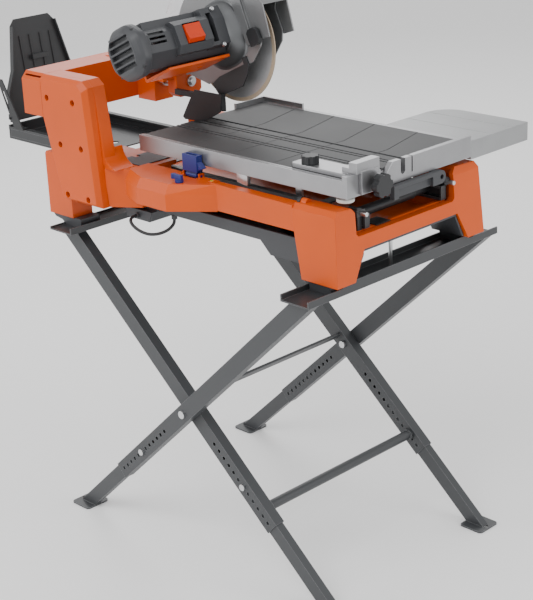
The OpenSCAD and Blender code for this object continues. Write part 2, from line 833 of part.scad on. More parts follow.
module motor_housing() {
  y0 = case_y0 - motor_len;
  color(dark) on_motor() difference() {
    union() {
      rotate([0, 22.5, 0]) translate([0, y0, 0]) rotate([-90, 0, 0]) cylinder(r = motor_r, h = motor_len,
        $fn = 8);
      side_cut([[20, -34], [46, -34], [58, -18], [58, 24], [46, 36], [20, 36]], -205, -112);
      side_cut([[10, -40], [48, -32], [52, 22], [46, 50], [10, 52]], -118, case_y0);
      span([-30, y0 + 20, 30], [30, -118, 50]);
    }
    rod_y(40, y0 - 1, case_y0 - 4);
    rod_y(7.06, y0, 0);
    for (i = [0 : 2]) span([36, -268, -2 + i * 10], [60, -226, 3 + i * 10]);
    for (i = [0 : 2]) span([-60, -268, -2 + i * 10], [-36, -226, 3 + i * 10]);
    span([41.5, -184.5, -19], [60, -136.5, 25]);
    side_cut([[34, -24], [60, -24], [60, 38], [34, 38]], -106, -92);
    for (p = [[44, 44], [44, -34]]) translate([p[0], -86, p[1]]) rotate([0, 90, 0]) cylinder(r = 3, h = 20);
  }
}

module motor_end_cap() {
  y1 = case_y0 - motor_len;
  y0 = y1 - 28;
  color(dark) on_motor() difference() {
    union() {
      rotate([0, 22.5, 0]) translate([0, y0 + 10, 0]) rotate([-90, 0, 0]) cylinder(r = motor_r, h = 18,
        $fn = 8);
      rotate([0, 22.5, 0]) translate([0, y0, 0]) rotate([-90, 0, 0]) cylinder(r1 = 42, r2 = motor_r,
        h = 10, $fn = 8);
    }
    rod_y(38, y0 + 5, y1 + 1);
    for (i = [-2 : 2]) span([-26, y0 - 1, i * 11 - 3], [26, y0 + 8, i * 11 + 3]);
  }
}

module switch_paddle() {
  color(red) on_motor() difference() {
    union() {
      side_cut([[49, -16], [56, -17], [66, -10], [62, 8], [61, 22], [49, 22]], -182, -139);
      translate([53, 0, 18]) rod_y(2.4, -184, -137);
    }
    translate([74, 0, -4]) rod_y(10, -170, -151);
  }
}

module motor_rotor() {
  color(steel_grey) on_motor() {
    rod_y(7, -288, -54);
    rod_y(30, -230, -110);
    rod_y(9, -50, -38);
    rod_y(5, -54, -50);
    difference() {
      rod_y(34, -276, -262);
      rod_y(28, -277, -268);
    }
    rod_y(7, -268, -262);
  }
}

module blade() {
  color([0.72, 0.72, 0.72]) translate([arbor_x, 0, arbor_h]) difference() {
    rod_y(blade_d / 2, blade_y - blade_t / 2, blade_y + blade_t / 2);
    rod_y(arbor_r, -10, 20);
  }
}

module arbor() {
  half = blade_t / 2;
  color(steel_grey) translate([arbor_x, 0, arbor_h]) {
    rod_y(arbor_r - 0.03, -34, blade_y + half + 10);
    rod_y(10, -37, -34);
    difference() {
      rod_y(19.9, -50, -38);
      rod_y(8, -51, -47);
    }
    rod_y(10, -38, -37);
    difference() {
      union() {
        rod_y(34, blade_y - half - 5, blade_y - half);
        rod_y(34, blade_y + half, blade_y + half + 5);
      }
      rod_y(arbor_r - 0.03, -20, 30);
    }
    rotate([-90, 0, 0]) translate([0, 0, blade_y + half + 10]) cylinder(r = 15, h = 8, $fn = 6);
  }
}

// Hood over the upper half of the blade
module blade_guard() {
  wall = 3;
  depth = guard_far - guard_near;
  color(steel_grey) on_head() {
    difference() {
      rod_y(guard_r, guard_near, guard_far);
      rod_y(guard_r - wall, guard_near + wall, guard_far - wall);
      side_cut([[-200, -20], [-136, -20], [-84, guard_n], [74, guard_n], [112, -38], [124, -18], [124, 30],
        [146, 60], [200, 60],
        [200, -200], [-200, -200]], guard_near - 1, guard_far + 1);
      rod_y(25.8, guard_near - 1, guard_near + wall + 1);
      translate([motor_u, 0, motor_n]) rod_y(25.8, guard_near - 1, guard_near + wall + 1);
      translate([latch_u, 0, latch_n]) rod_y(3.05, guard_near - 1, guard_near + wall + 1);
      translate([visor_u, 0, visor_n]) rod_y(4.05, guard_near - 1, guard_far + 1);
    }
    difference() {
      side_cut([[79, -28], [98, -20], [104, 96], [88, 112], [74, 118]], guard_near - 6, guard_near);
      rod_y(36, guard_near - 8, guard_near + 1);
    }
  }
}

// Front visor, hinged on the outside of the guard
module splash_shield() {
  side = 3;
  color(black) on_head() {
    for (y = [guard_near - 1 - side, guard_far + 1])
      side_cut([[112, 34], [120, -26], [150, -30], [162, 40], [152, 74], [136, 92], [116, 84]], y, y + side);
    side_cut([[162, 36], [152, 74], [136, 92], [134, 88], [148, 71], [158, 36]], guard_near - 1,
      guard_far + 1);
    for (s = [guard_near - 1, guard_far - 3]) translate([visor_u, 0, visor_n]) rod_y(4, s, s + 4);
  }
}

// Clear spray screen at the rear of the guard
module rear_shield() {
  color(clear) on_head() difference() {
    side_cut([[-118, 88], [-146, 96], [-160, 128], [-116, 160], [-92, 132]], guard_near + 16,
      guard_near + 19);
    rod_y(guard_r, -100, 100);
  }
}

// Rubber skirt under the guard, and the small knob on its crown
module guard_skirt() {
  color(black) on_head() {
    side_cut([[-70, guard_n - 3], [-60, -96], [20, -98], [46, -80], [60, guard_n - 3], [60, -44], [46,
      -44], [46, guard_n + 4],
      [-40, guard_n + 4]], guard_near - 3, guard_near);
    rotate([0, 40, 0]) translate([0, guard_near + 20, guard_r]) cylinder(r = 9, h = 8);
  }
}

module guard_latch() {
  color(black) on_head() {
    side_cut([[98, -34], [124, -34], [130, -26], [130, -6], [122, 2], [106, 2], [98, -4]], guard_near - 16,
      guard_near - 6.3);
    translate([latch_u, 0, latch_n]) rod_y(3, guard_near - 6.3, guard_near + 2.5);
  }
}

// Knob on the near ear of the bevel bracket that locks the plunge
module plunge_lock_knob() {
  color(black) translate([lock_x, lock_y, 0]) {
    translate([0, 0, 1129]) lobed_knob(20, 20, 12);
    translate([0, 0, 1064]) cylinder(r = 4, h = 66);
  }
}

// ---------- table ----------

module table_frame() {
  rim = 12;
  end_z = 938;
  slot_half = 2;
  v_y = -78;
  u_y = -25;
  x0 = table_rear;
  x1 = table_front;
  color(alloy) {
    difference() {
      union() {
        span([x0, -table_y, table_bottom], [x1 - rim, table_y, table_top - mat_t]);
        span([x0, -table_y, table_top - mat_t], [x1 - rim, -table_y + rim, table_top]);
        span([x0, table_y - rim, table_top - mat_t], [x1 - rim, table_y, table_top]);
        span([x1 - rim, -table_y, table_bottom], [x1, table_y, end_z]);
        span([x0, 96, table_top - mat_t], [x0 + 6, table_y, table_top + 12]);
        span([x0, table_y - 5, table_top], [x0 + 130, table_y, table_top + 12]);
      }
      span([x0 + 14, -table_y + 16, table_bottom - 1], [x1 - rim - 6, -16, table_top - mat_t - 4]);
      span([x0 + 14, 22, table_bottom - 1], [x1 - rim - 6, table_y - 16, table_top - mat_t - 4]);
      span([x0 - 1, slot_y - 5, 908], [x1 - rim, slot_y + 5, table_top]);
      span([x1 - rim - 1, slot_y - slot_half, 905], [x1 + 1, slot_y + slot_half, end_z + 1]);
      span([x0 + 10, -table_y + 4, table_top - 3], [x1 - 26, -table_y + 7, table_top + 1]);
      front_cut([[v_y - 22, end_z + 1], [v_y, 914], [v_y + 22, end_z + 1]], x1 - rim - 1, x1 + 1);
      translate([0, u_y, 914]) rod_x(7, x1 - rim - 1, x1 + 1);
      span([x1 - rim - 1, u_y - 7, 914], [x1 + 1, u_y + 7, end_z + 1]);
      for (x = [x1 - 130, x1 - 30]) translate([x, 0, 903]) rod_y(5.05, 100, 200);
    }
  }
}

// Rubber top, grooved for the three standard cutting angles
module table_mat() {
  inset = 12.2;
  x0 = table_rear + 6.2;
  x1 = table_front - 12.2;
  color(rubber) difference() {
    span([x0, -table_y + inset, table_top - mat_t], [x1, table_y - inset, table_top]);
    span([x0 - 1, slot_y - 4, table_top - mat_t - 1], [x1 + 1, slot_y + 4, table_top + 1]);
    for (y = [-25, -37, -78, -90]) span([x0 - 1, y - groove_w / 2, table_top - 2.5], [x1 + 1,
      y + groove_w / 2, table_top + 1]);
    for (x = [-40, 80, 200, 320]) span([x, -table_y, table_top - 1.2], [x + 2.4, slot_y - 4, table_top + 1]);
    for (x = [-40, 80, 200, 320]) translate([x, slot_y + 4, table_top - 1.2])
      linear_extrude(3) polygon([[0, 0], [2.4, 0], [2.4, 30], [-44, 200], [-47, 200], [0, 30]]);
  }
}

// Hangers and stub axles of the table's wheels
module roller_axles() {
  color(zinc) for (x = axle_x, s = [-1, 1]) scale([1, s, 1]) {
    translate([x, 0, axle_z]) rod_y(4, hanger_y + 6, rail_y);
    difference() {
      span([x - 10, hanger_y, axle_z - 8], [x + 10, hanger_y + 6, table_top - mat_t - 4]);
      span([x - 11, hanger_y - 1, axle_z + 10], [x - 7, hanger_y + 7, table_bottom]);
    }
  }
}

// Pair of table wheels that run inside the guide rails
module roller_pair(x) {
  color([0.9, 0.9, 0.87]) for (s = [-1, 1]) scale([1, s, 1]) translate([x, 0, axle_z]) difference() {
    rod_y(wheel_r, rail_y - 6.5, rail_y + 1.5);
    rod_y(4.05, 0, 200);
  }
}

module rear_rollers() roller_pair(axle_x[0]);
module front_rollers() roller_pair(axle_x[1]);

module table_handle() {
  color(dark) difference() {
    union() {
      span([table_front, -66, 864], [table_front + 12, 78, 892]);
      for (y = [-66, 66]) span([table_front - 10, y, 876], [table_front, y + 12, 892.8]);
      translate([0, 80, 878]) rod_x(14, table_front, table_front + 12);
    }
    translate([0, 82, 878]) rod_x(5, table_front - 1, table_front + 13);
    span([table_front + 4, -52, 863], [table_front + 13, 54, 884]);
  }
}

// Stop rail that clamps over the table's end bar
module fence() {
  z = 938.4;
  color(alloy) {
    difference() {
      union() {
        translate([325, -150, table_top + 0.6]) round_plate(146, 52, 9, 6);
        span([382, -168, table_top + 0.6], [table_front - 12.4, -102, z + 10]);
        span([table_front - 14, -168, z], [table_front + 6, -102, z + 22]);
        span([table_front + 0.4, -156, 896], [table_front + 8, -104, z + 4]);
      }
      translate([0, star_y, 910]) rod_x(5.05, 400, 430);
      translate([screw_x, screw_y, 900]) cylinder(r = 4.05, h = 60);
    }
  }
}

// Lobed screw on the stop rail
module fence_screw() {
  color(black) translate([screw_x, screw_y, table_top]) {
    translate([0, 0, 9.9]) lobed_knob(18, 17, 8);
    translate([0, 0, 1]) cylinder(r = 4, h = 9);
  }
}

// Star knob of the fence's clamp
module star_knob() {
  color(black) translate([0, star_y, 910]) rotate([0, 90, 0]) {
    translate([0, 0, table_front + 18.5]) lobed_knob(24, 15, 6);
    translate([0, 0, table_front + 8.4]) cylinder(r = 8, h = 10.2);
    translate([0, 0, table_front + 0.8]) cylinder(r = 5, h = 7.7);
  }
}

module extension_table() {
  len = 233;
  y0 = table_y + 0.4;
  color(alloy) {
    difference() {
      translate([table_front - len, y0, 887]) linear_extrude(40) difference() {
        square([len, ext_wid]);
        difference() {
          translate([-1, ext_wid - 60]) square(61);
          translate([60, ext_wid - 60]) circle(60);
        }
      }
      span([table_front - len + 8, y0 + 8, 886], [table_front - 8, y0 + ext_wid - 60, 921]);
      span([table_front - len + 60, y0 + ext_wid - 60.1, 886], [table_front - 8, y0 + ext_wid - 8, 921]);
      for (y = [70, 140]) span([table_front - len - 1, y0 + y, 925.5], [table_front + 1, y0 + y + 1.6, 928]);
    }
    for (x = [table_front - 130, table_front - 30]) translate([x, 0, 903]) rod_y(5, 112, y0 + 9);
  }
}

outer_legs();
front_channel();
outer_bolts();
inner_leg_near();
inner_leg_far();
rear_channel();
stand_bars();
inner_bolts();
foot_rear_near();
foot_rear_far();
foot_front_near();
foot_front_far();
front_portal();
base_sides();
rear_legs();
base_feet();
retaining_bolt();
water_basin();
water_pan();
pump_hose();
guide_rails();
rail_webs();
cross_members();
rear_tray();
deflector_flap();
tower_body();
platform_plate();
tower_cover();
cover_screws();
tap_knob();
table_lock();
arm();
bevel_shaft();
bevel_lock_knob();
bevel_bracket();
chute();
plunge_lock_knob();
head_arm();
gear_case();
motor_housing();
motor_end_cap();
switch_paddle();
motor_rotor();
blade_guard();
guard_skirt();
splash_shield();
rear_shield();
guard_latch();
blade();
arbor();
table_frame();
table_mat();
roller_axles();
rear_rollers();
front_rollers();
fence();
fence_screw();
star_knob();
table_handle();
extension_table();
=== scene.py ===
"""Finishes, rounded mouldings, small fittings and stage of a tile cutter on its folding stand."""

import math

import bmesh
import bpy
import numpy as np
from mathutils import Matrix, Vector


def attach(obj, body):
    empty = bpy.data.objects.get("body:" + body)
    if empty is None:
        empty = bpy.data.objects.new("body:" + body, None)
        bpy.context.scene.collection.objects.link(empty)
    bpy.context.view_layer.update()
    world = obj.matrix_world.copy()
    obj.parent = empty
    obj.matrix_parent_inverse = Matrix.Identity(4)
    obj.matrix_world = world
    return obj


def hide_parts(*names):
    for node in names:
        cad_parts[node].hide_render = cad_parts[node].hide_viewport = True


bl_info = {
    "name": "Tile Cutter Finishes",
    "version": (1, 0, 0),
    "blender": (4, 5, 0),
    "location": "3D View > Sidebar > Tile Cutter",
    "description": "Adds finishes, rounded mouldings and small fittings to a tile cutter on a folding stand",
    "category": "Object",
}

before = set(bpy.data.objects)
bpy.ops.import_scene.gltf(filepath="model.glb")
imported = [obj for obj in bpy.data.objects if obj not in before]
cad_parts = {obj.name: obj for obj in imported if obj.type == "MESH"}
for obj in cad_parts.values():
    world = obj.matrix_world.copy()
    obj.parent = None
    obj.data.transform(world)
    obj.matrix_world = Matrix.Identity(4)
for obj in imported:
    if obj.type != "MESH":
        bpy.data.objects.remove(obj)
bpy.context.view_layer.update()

# Head: blade centre, pitch of the raised head, and the motor axis in head coordinates
ARBOR = np.array([-0.086, 0.0, 1.107])
PITCH = math.radians(25)
MOTOR_U, MOTOR_N = 0.016, 0.0246
# Motor end cap: spacing and depth of its louvres, and how far its screws stand from its axis along u and n
LOUVRE_STEP, LOUVRE_DEPTH = 0.0142, 0.011
CAP_SCREW = 0.0385
# Radius at which the blade's sintered rim begins
RIM_START = 0.1185
# Camera: azimuth, elevation and roll in degrees, its place, and its lens shift as parts of the longer side
CAMERA_TURN = (45.89, 20.75, -2.51)
CAMERA_PLACE = (2.313, -2.253, 1.754)
CAMERA_SHIFT = (-1.7 / 600, 1.2 / 600)


# ---------- shader maths ----------

class Val:
    """A number in a shader tree. Arithmetic on it adds the Math nodes."""

    def __init__(self, finish, socket):
        self.finish = finish
        self.socket = socket

    def _math(self, operation, *values):
        made = self.finish.node("ShaderNodeMath", {"operation": operation},
                                {i: v for i, v in enumerate(values)})
        return made.out(0)

    def __add__(self, other):
        return self._math("ADD", self, other)

    __radd__ = __add__

    def __sub__(self, other):
        return self._math("SUBTRACT", self, other)

    def __rsub__(self, other):
        return self._math("SUBTRACT", other, self)

    def __mul__(self, other):
        return self._math("MULTIPLY", self, other)

    __rmul__ = __mul__

    def __truediv__(self, other):
        return self._math("DIVIDE", self, other)

    def __rtruediv__(self, other):
        return self._math("DIVIDE", other, self)

    def __pow__(self, other):
        return self._math("POWER", self, other)

    def clip(self):
        """Clamped to 0..1."""
        made = self.finish.node("ShaderNodeClamp", {}, {0: self, 1: 0.0, 2: 1.0})
        return made.out(0)

    def above(self, edge, soft):
        """0 below the edge, 1 above it, with a straight ramp of the given width."""
        return ((self - (edge - soft / 2)) * (1.0 / soft)).clip()


class Made:
    """A node that a finish has made."""

    def __init__(self, finish, node):
        self.finish = finish
        self.node = node

    def out(self, name=0):
        """One of the node's outputs, by name or number."""
        return Val(self.finish, self.node.outputs[name])


class Finish:
    """A material with its tree, built by expressions."""

    def __init__(self, name):
        self.material = bpy.data.materials.new(name)
        self.material.use_nodes = True
        self.tree = self.material.node_tree
        self.shader = self.tree.nodes["Principled BSDF"]
        self.place = self.node("ShaderNodeTexCoord").out("Object")

    def node(self, kind, settings=None, values=None):
        """One node of a type, its settings first, then the values or links of its sockets."""
        made = self.tree.nodes.new(kind)
        for key, value in (settings or {}).items():
            if key == "stops":
                ramp = made.color_ramp
                while len(ramp.elements) < len(value):
                    ramp.elements.new(0.5)
                for element, (at, colour) in zip(ramp.elements, value):
                    element.position = at
                    element.color = colour
            else:
                setattr(made, key, value)
        for key, value in (values or {}).items():
            self.feed(made.inputs[key], value)
        return Made(self, made)

    def feed(self, socket, value):
        """Link a value of the tree to a socket, or set a plain number or colour on it."""
        if isinstance(value, Val):
            self.tree.links.new(value.socket, socket)
        elif isinstance(value, (tuple, list)) and len(value) == 3 and socket.type == "RGBA":
            socket.default_value = (*value, 1.0)
        else:
            socket.default_value = value

    def set(self, **sockets):
        """Feed the shader's sockets; underscores in a name stand for spaces."""
        for name, value in sockets.items():
            self.feed(self.shader.inputs[name.replace("_", " ")], value)
        return self

    def noise(self, scale, detail=2.0, rough=0.5, stretch=None):
        """Fractal noise on the object's own metres; stretch scales it along X, Y, Z."""
        place = self.place
        if stretch:
            place = self.node("ShaderNodeMapping", {}, {"Vector": place, "Scale": stretch}).out(0)
        return self.node("ShaderNodeTexNoise", {}, {
            "Vector": place, "Scale": scale, "Detail": detail, "Roughness": rough}).out(0)

    def cells(self, scale):
        """Distance to the nearest cell centre."""
        return self.node("ShaderNodeTexVoronoi", {}, {"Vector": self.place, "Scale": scale}).out("Distance")

    def axes(self):
        """The X, Y and Z of the place, in metres."""
        parts = self.node("ShaderNodeSeparateXYZ", {}, {0: self.place})
        return parts.out(0), parts.out(1), parts.out(2)

    def mix(self, mask, low, high):
        """Colour that goes from low to high with the mask."""
        made = self.node("ShaderNodeMix", {"data_type": "RGBA"})
        for index, value in ((0, mask), (6, low), (7, high)):
            self.feed(made.node.inputs[index], value)
        return made.out(2)

    def rounded(self, radius):
        """Normal with the sharp edges rounded off in shading."""
        return self.node("ShaderNodeBevel", {"samples": 6}, {"Radius": radius}).out(0)

    def edges(self, radius):
        """0 on flats, 1 on sharp edges: how far the rounded normal leaves the true one."""
        soft = self.node("ShaderNodeBevel", {"samples": 6}, {"Radius": radius}).out(0)
        true = self.node("ShaderNodeNewGeometry").out("True Normal")
        dot = self.node("ShaderNodeVectorMath", {"operation": "DOT_PRODUCT"}, {0: soft, 1: true}).out("Value")
        return ((1 - dot) * 6.0).clip()

    def bump(self, height, depth, strength=1.0, normal=None):
        """Normal with a height of 0..1 laid on it as relief of the given depth in metres."""
        values = {"Height": height, "Distance": depth, "Strength": strength}
        if normal is not None:
            values["Normal"] = normal
        return self.node("ShaderNodeBump", {}, values).out(0)


# ---------- finishes ----------

def moulded(name, colour, rough, grain=1400, depth=0.00004, edge=0.0018, dust=0.12, coat=0.0,
            shine=0.5):
    """Moulded plastic: fine spark texture, faint cloudy sheen, and a painted highlight that makes the edges
    slightly paler.
    """
    f = Finish(name)
    cloud = f.noise(9, 3)
    fine = f.noise(grain, 2, 0.6)
    pale = tuple(min(1.0, c * 1.12 + 0.004) for c in colour)
    deep = tuple(c * 0.90 for c in colour)
    tint = f.mix(cloud.above(0.5, 0.5), deep, colour)
    # Painted highlight: sharp edges are mixed towards a paler tint
    tint = f.mix(f.edges(edge * 0.8) * 0.55, tint, pale)
    f.set(Base_Color=tint, Roughness=rough + (cloud - 0.5) * dust + (fine - 0.5) * 0.08)
    f.set(Normal=f.bump(fine, depth, 0.7, f.rounded(edge)), Coat_Weight=coat, Coat_Roughness=0.22,
          Specular_IOR_Level=shine)
    return f.material


def powder_coat(name, colour, rough, edge_highlight, edge=0.0016):
    """Powder coat: orange peel, with a painted highlight in a lighter grey along the edges, broken up by
    noise.
    """
    f = Finish(name)
    peel = f.noise(520, 2, 0.5)
    cloud = f.noise(6, 4)
    highlight_breakup = f.noise(60, 4, 0.65)
    # Painted highlight: edges are mixed towards a lighter grey, broken up by noise
    rim = (f.edges(edge) * (0.35 + highlight_breakup * 0.9)).clip()
    tint = f.mix(cloud.above(0.5, 0.6), tuple(c * 0.86 for c in colour), colour)
    tint = f.mix(rim * edge_highlight, tint, (0.42, 0.43, 0.44))
    f.set(Base_Color=tint, Roughness=rough + (cloud - 0.5) * 0.16 + (peel - 0.5) * 0.06, Metallic=0.0)
    f.set(Normal=f.bump(peel, 0.00005, 0.8, f.rounded(edge)))
    return f.material


def cast_metal(name, colour, rough, sand=800, depth=0.00006, edge=0.0015, metallic=0.85):
    """Cast or pressed alloy: sand texture, stained flats, and a painted highlight that brightens the edges.
    """
    f = Finish(name)
    sandy = f.noise(sand, 3, 0.6)
    cloud = f.noise(14, 4)
    brushed = f.noise(40, 3, 0.6, stretch=(0.3, 14, 14))
    tint = f.mix(cloud.above(0.52, 0.4), tuple(c * 0.88 for c in colour), colour)
    # Painted highlight: sharp edges are mixed towards a brighter tint
    tint = f.mix(f.edges(edge) * 0.6, tint, tuple(min(0.93, c * 1.7) for c in colour))
    f.set(Base_Color=tint, Metallic=metallic,
          Roughness=rough + (cloud - 0.5) * 0.14 + (brushed - 0.5) * 0.12)
    f.set(Normal=f.bump(sandy, depth, 0.6, f.rounded(edge)))
    return f.material


def bright_steel(name, colour, rough):
    """Zinc-plated or ground steel, with fine turning marks."""
    f = Finish(name)
    turned = f.noise(900, 2, 0.5, stretch=(1, 0.1, 1))
    cloud = f.noise(60, 3)
    tint = f.mix(cloud, tuple(c * 0.9 for c in colour), colour)
    f.set(Base_Color=tint, Metallic=1.0, Roughness=rough + (turned - 0.5) * 0.15 + (cloud - 0.5) * 0.08)
    f.set(Normal=f.bump(turned, 0.00003, 0.5, f.rounded(0.0006)))
    return f.material


def rubber_top(name):
    """Ribbed rubber sheet: fine pebble grain, dusty in patches, and a painted highlight that lightens the
    edges.
    """
    f = Finish(name)
    grain = f.cells(900)
    cloud = f.noise(7, 4, 0.6)
    tint = f.mix(cloud.above(0.5, 0.5), (0.050, 0.051, 0.053), (0.072, 0.073, 0.075))
    # Painted highlight: sharp edges are mixed towards a lighter grey
    tint = f.mix(f.edges(0.0012) * 0.5, tint, (0.16, 0.16, 0.165))
    f.set(Base_Color=tint, Roughness=0.62 + (cloud - 0.5) * 0.2)
    f.set(Normal=f.bump(grain, 0.00012, 0.5, f.rounded(0.001)))
    return f.material


def blade_finish(name):
    """Steel disc with turned rings and a sintered diamond rim, set by the distance from the axis."""
    f = Finish(name)
    x, y, z = f.axes()
    radius = ((x - float(ARBOR[0])) ** 2 + (z - float(ARBOR[2])) ** 2) ** 0.5
    rim = radius.above(RIM_START, 0.0006)
    ring = f.node("ShaderNodeTexNoise", {"noise_dimensions": "1D"}, {
        "W": radius, "Scale": 1600.0, "Detail": 2.0}).out(0)
    grit = f.noise(2200, 2, 0.7)
    frost = f.noise(260, 3, 0.7)
    steel = f.mix((ring * 0.6 + frost * 0.5).clip(), (0.30, 0.305, 0.31), (0.52, 0.52, 0.53))
    sinter = f.mix(grit.above(0.5, 0.3), (0.34, 0.25, 0.17), (0.62, 0.50, 0.37))
    f.set(Base_Color=f.mix(rim, steel, sinter), Metallic=0.45 - rim * 0.3,
          Roughness=0.34 + rim * 0.32 + (ring - 0.5) * 0.2)
    f.set(Normal=f.bump(ring * 0.4 + grit * (0.15 + rim * 1.2), 0.00006, 0.6))
    return f.material


def clear_sheet(name, colour, alpha):
    """Clear plastic, a little hazy."""
    f = Finish(name)
    haze = f.noise(30, 3)
    f.set(Base_Color=f.mix(haze, tuple(c * 0.92 for c in colour), colour), Roughness=0.12 + haze * 0.1,
          Alpha=alpha + (haze - 0.5) * 0.1, IOR=1.46)
    f.material.surface_render_method = "BLENDED"
    return f.material


def floor_finish(name, colour):
    """Pale matt floor, very faintly clouded."""
    f = Finish(name)
    cloud = f.noise(1.5, 3)
    f.set(Base_Color=f.mix(cloud, tuple(c * 0.985 for c in colour), colour), Roughness=0.6)
    return f.material


# Finish of each part of the frame
SLOTS = {
    "grey coat": ("outer_legs inner_leg_near inner_leg_far foot_rear_near foot_rear_far "
                  "foot_front_near foot_front_far stand_bars"),
    "tray coat": "front_channel rear_channel",
    "rail coat": "guide_rails rail_webs cross_members",
    "zinc": "outer_bolts inner_bolts retaining_bolt roller_axles bevel_shaft motor_rotor arbor",
    "orange moulding": "front_portal base_sides rear_legs water_basin tower_body tower_cover",
    "orange paint": "arm bevel_bracket head_arm",
    "grey moulding": "base_feet water_pan platform_plate motor_housing motor_end_cap table_handle",
    "black moulding": ("rear_tray deflector_flap cover_screws bevel_lock_knob chute plunge_lock_knob "
                       "guard_latch fence_screw star_knob"),
    "soft rubber": "pump_hose guard_skirt",
    "table rubber": "table_mat",
    "blue moulding": "tap_knob table_lock",
    "red moulding": "switch_paddle",
    "gear case alloy": "gear_case",
    "guard alloy": "blade_guard splash_shield",
    "clear plastic": "rear_shield",
    "blade steel": "blade",
    "table alloy": "table_frame fence",
    "extension alloy": "extension_table",
    "white wheel": "rear_rollers front_rollers",
}


def make_finishes(colours):
    """Every finish by name."""
    orange = tuple(colours.orange)
    grey = tuple(colours.stand)
    return {
        "grey coat": powder_coat("grey_coat", grey, 0.42, 0.55),
        "tray coat": powder_coat("tray_coat", tuple(c * 0.8 for c in grey), 0.40, 0.5),
        "rail coat": powder_coat("rail_coat", tuple(c * 0.6 for c in grey), 0.42, 0.3),
        "zinc": bright_steel("zinc", (0.66, 0.67, 0.68), 0.32),
        "orange moulding": moulded("orange_moulding", orange, 0.34, shine=0.32),
        "orange paint": moulded("orange_paint", orange, 0.33, grain=700, depth=0.00007, shine=0.32),
        "grey moulding": moulded("grey_moulding", (0.045, 0.047, 0.052), 0.46, grain=900, depth=0.00009),
        "black moulding": moulded("black_moulding", (0.017, 0.018, 0.020), 0.45, grain=900, depth=0.00008),
        "soft rubber": moulded("soft_rubber", (0.024, 0.025, 0.027), 0.58, grain=1600),
        "table rubber": rubber_top("table_rubber"),
        "blue moulding": moulded("blue_moulding", tuple(colours.blue), 0.38),
        "red moulding": moulded("red_moulding", (0.62, 0.040, 0.004), 0.36, shine=0.3),
        "gear case alloy": cast_metal("gear_case_alloy", (0.17, 0.175, 0.18), 0.40),
        "guard alloy": cast_metal("guard_alloy", (0.25, 0.255, 0.26), 0.34, metallic=0.6),
        "clear plastic": clear_sheet("clear_plastic", (0.86, 0.88, 0.90), 0.45),
        "blade steel": blade_finish("blade_steel"),
        "table alloy": cast_metal("table_alloy", (0.37, 0.37, 0.38), 0.33),
        "extension alloy": cast_metal("extension_alloy", (0.36, 0.365, 0.37), 0.40, metallic=0.6),
        "vial": moulded("vial", (0.62, 0.66, 0.03), 0.12, coat=0.8),
        "white wheel": moulded("white_wheel", (0.70, 0.70, 0.66), 0.5),
    }


# ---------- surfaces ----------

def on_head(points):
    """Head coordinates (u forward, y, n up, metres) to the frame: turned by the pitch about the arbor."""
    u, y, n = points[..., 0], points[..., 1], points[..., 2]
    x = ARBOR[0] + u * math.cos(PITCH) - n * math.sin(PITCH)
    z = ARBOR[2] + u * math.sin(PITCH) + n * math.cos(PITCH)
    return np.stack([x, y, z], axis=-1)


def squircle(angle, wide, high, power):
    """Superellipse: the radius at each angle is (|cos/wide|^p + |sin/high|^p)^(-1/p)."""
    c, s = np.cos(angle), np.sin(angle)
    radius = (np.abs(c / wide) ** power + np.abs(s / high) ** power) ** (-1.0 / power)
    return radius * c, radius * s


def octagon(angle, half, diagonal, power=16.0):
    """Soft octagon: a power mean of four bands, two along the axes and two along the diagonals."""
    c, s = np.cos(angle), np.sin(angle)
    slant = diagonal * math.sqrt(2)
    bands = (c / half, s / half, (c + s) / slant, (c - s) / slant)
    radius = sum(np.abs(b) ** power for b in bands) ** (-1.0 / power)
    return radius * c, radius * s


def smooth(t):
    """Smoothstep 3t^2 - 2t^3 of a value clipped to 0..1."""
    t = np.clip(t, 0, 1)
    return t * t * (3 - 2 * t)


def quads(rows, columns):
    """Corner numbers of the cells of a grid, wrapped round the columns."""
    i = np.arange(rows - 1)[:, None] * columns
    j = np.arange(columns)[None, :]
    j2 = (j + 1) % columns
    cells = np.stack(np.broadcast_arrays(i + j, i + j2, i + columns + j2, i + columns + j), -1)
    return cells.reshape(-1, 4)


def surface(name, points, finish, body, smooth_angle=40):
    """Grid of points (rows, columns, 3) made a closed mesh: each row is a ring, the end rows are capped."""
    rows, columns = points.shape[:2]
    first = tuple(range(columns - 1, -1, -1))
    last = tuple(range((rows - 1) * columns, rows * columns))
    faces = [tuple(c) for c in quads(rows, columns).tolist()] + [first, last]
    mesh = bpy.data.meshes.new(name)
    mesh.from_pydata(points.reshape(-1, 3).tolist(), [], faces)
    return place(name, mesh, finish, body, smooth_angle)


def place(name, mesh, finish, body, smooth_angle=40):
    """Gives a mesh its finish, smooth shading up to an angle, outward faces and its body."""
    mesh.update()
    made = bpy.data.objects.new(name, mesh)
    mesh.materials.append(FINISHES[finish])
    bpy.context.scene.collection.objects.link(made)
    work = bmesh.new()
    work.from_mesh(mesh)
    bmesh.ops.remove_doubles(work, verts=work.verts, dist=1e-6)
    bmesh.ops.recalc_face_normals(work, faces=work.faces)
    work.to_mesh(mesh)
    work.free()
    mesh.polygons.foreach_set("use_smooth", np.ones(len(mesh.polygons), bool))
    mesh.set_sharp_from_angle(angle=math.radians(smooth_angle))
    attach(made, body)
    return made


def turned(name, profile, origin, axis, finish, body, sides=48, smooth_angle=35):
    """Profile (radius, height) carried round an axis."""
    profile = np.asarray(profile, float)
    angle = np.linspace(0, 2 * math.pi, sides, endpoint=False)
    radius = np.repeat(profile[:, :1], sides, axis=1)
    height = np.repeat(profile[:, 1:], sides, axis=1)
    axis = np.asarray(axis, float) / np.linalg.norm(axis)
    side = np.cross(axis, (0, 0, 1.0) if abs(axis[2]) < 0.9 else (1.0, 0, 0))
    side /= np.linalg.norm(side)
    third = np.cross(axis, side)
    ring = np.cos(angle)[None, :, None] * side + np.sin(angle)[None, :, None] * third
    points = np.asarray(origin) + height[..., None] * axis + radius[..., None] * ring
    return surface(name, points, finish, body, smooth_angle=smooth_angle)


